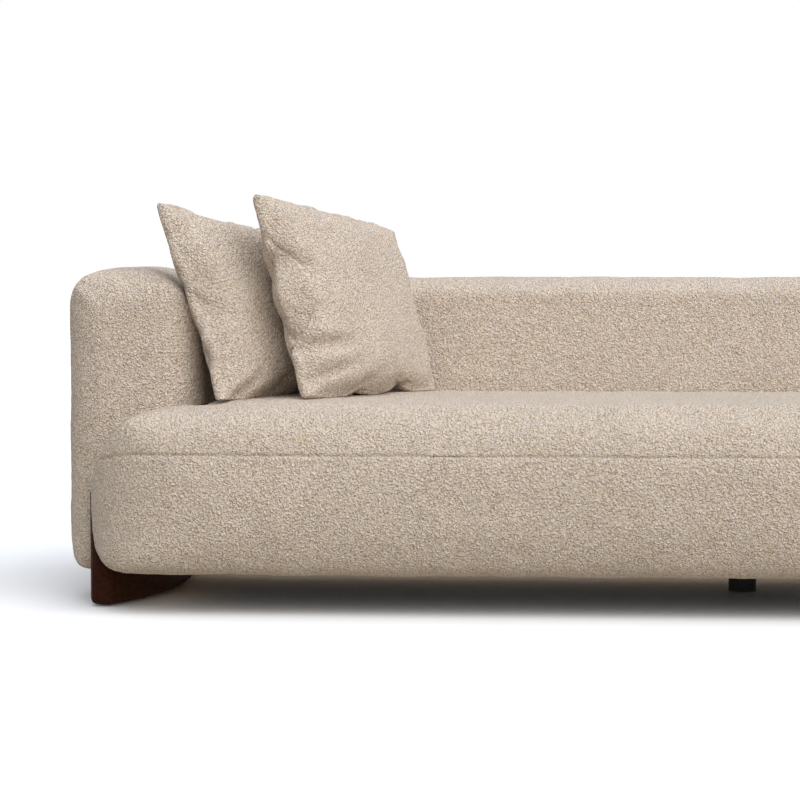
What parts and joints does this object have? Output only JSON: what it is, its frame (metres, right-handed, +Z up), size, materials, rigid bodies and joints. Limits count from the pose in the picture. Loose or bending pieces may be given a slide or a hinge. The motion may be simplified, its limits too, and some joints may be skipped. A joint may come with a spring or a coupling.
{
  "type": "sofa",
  "caption": "Long low sofa in looped cream fabric: thick rounded arms and back, a one-piece bench seat that reaches in front of the arms, solid wood blade legs and loose square pillows",
  "frame": {"origin": "the middle of the sofa's footprint, on the floor it stands on", "axes": "+X runs along the sofa, from the arm with the pillows to the other arm; -Y is the front, where a person sits down; +Z is up"},
  "size_m": [2.88, 0.96, 0.885],
  "materials": {
    "boucle": "woven",
    "foam": "foam",
    "filling": "fibre",
    "webbing": "woven",
    "black_cloth": "nonwoven",
    "felt": "felt",
    "walnut": "satin",
    "beech": "planed",
    "plywood": "sawn",
    "black_plastic": "matte",
    "steel": "plated"
  },
  "bodies": {
    "sofa": {"leg_left": "walnut", "leg_right": "walnut", "leg_glides": "felt", "leg_bolts": "steel", "centre_foot": "black_plastic", "centre_foot_pad": "felt", "centre_foot_bolt": "steel", "base_front_rail": "beech", "base_rear_rail": "beech", "base_end_rails": "beech", "base_cross_rails": "beech", "base_mid_rails": "beech", "base_wing_rails": "beech", "base_corner_blocks": "beech", "seat_webbing_long": "webbing", "seat_webbing_cross": "webbing", "dust_cover": "black_cloth", "seat_foam_core": "foam", "seat_foam_topper": "foam", "seat_top_cover": "boucle", "seat_band_cover": "boucle", "back_ribs": "plywood", "back_end_frames": "plywood", "back_top_rail": "plywood", "back_webbing": "webbing", "back_rear_board": "plywood", "back_foam": "foam", "back_cover": "boucle", "arm_left_outer_panel": "plywood", "arm_left_inner_panel": "plywood", "arm_left_base_plate": "beech", "arm_left_posts": "beech", "arm_left_top_rail": "beech", "arm_left_foam": "foam", "arm_left_cover": "boucle", "arm_right_outer_panel": "plywood", "arm_right_inner_panel": "plywood", "arm_right_base_plate": "beech", "arm_right_posts": "beech", "arm_right_top_rail": "beech", "arm_right_foam": "foam", "arm_right_cover": "boucle", "arm_bolts": "steel", "back_bolts": "steel"},
    "pillow_front": {"pillow_front_cover": "boucle", "pillow_front_insert": "filling"},
    "pillow_rear": {"pillow_rear_cover": "boucle", "pillow_rear_insert": "filling"}
  },
  "joints": [
    {"name": "pillow_front_lift", "type": "slide", "parent": "sofa", "child": "pillow_front", "axis": [-0.2628, 0.1282, 0.9563], "range_m": [0, 0.45]},
    {"name": "pillow_rear_lift", "type": "slide", "parent": "sofa", "child": "pillow_rear", "axis": [-0.2628, 0.1282, 0.9563], "range_m": [0, 0.45]}
  ]
}
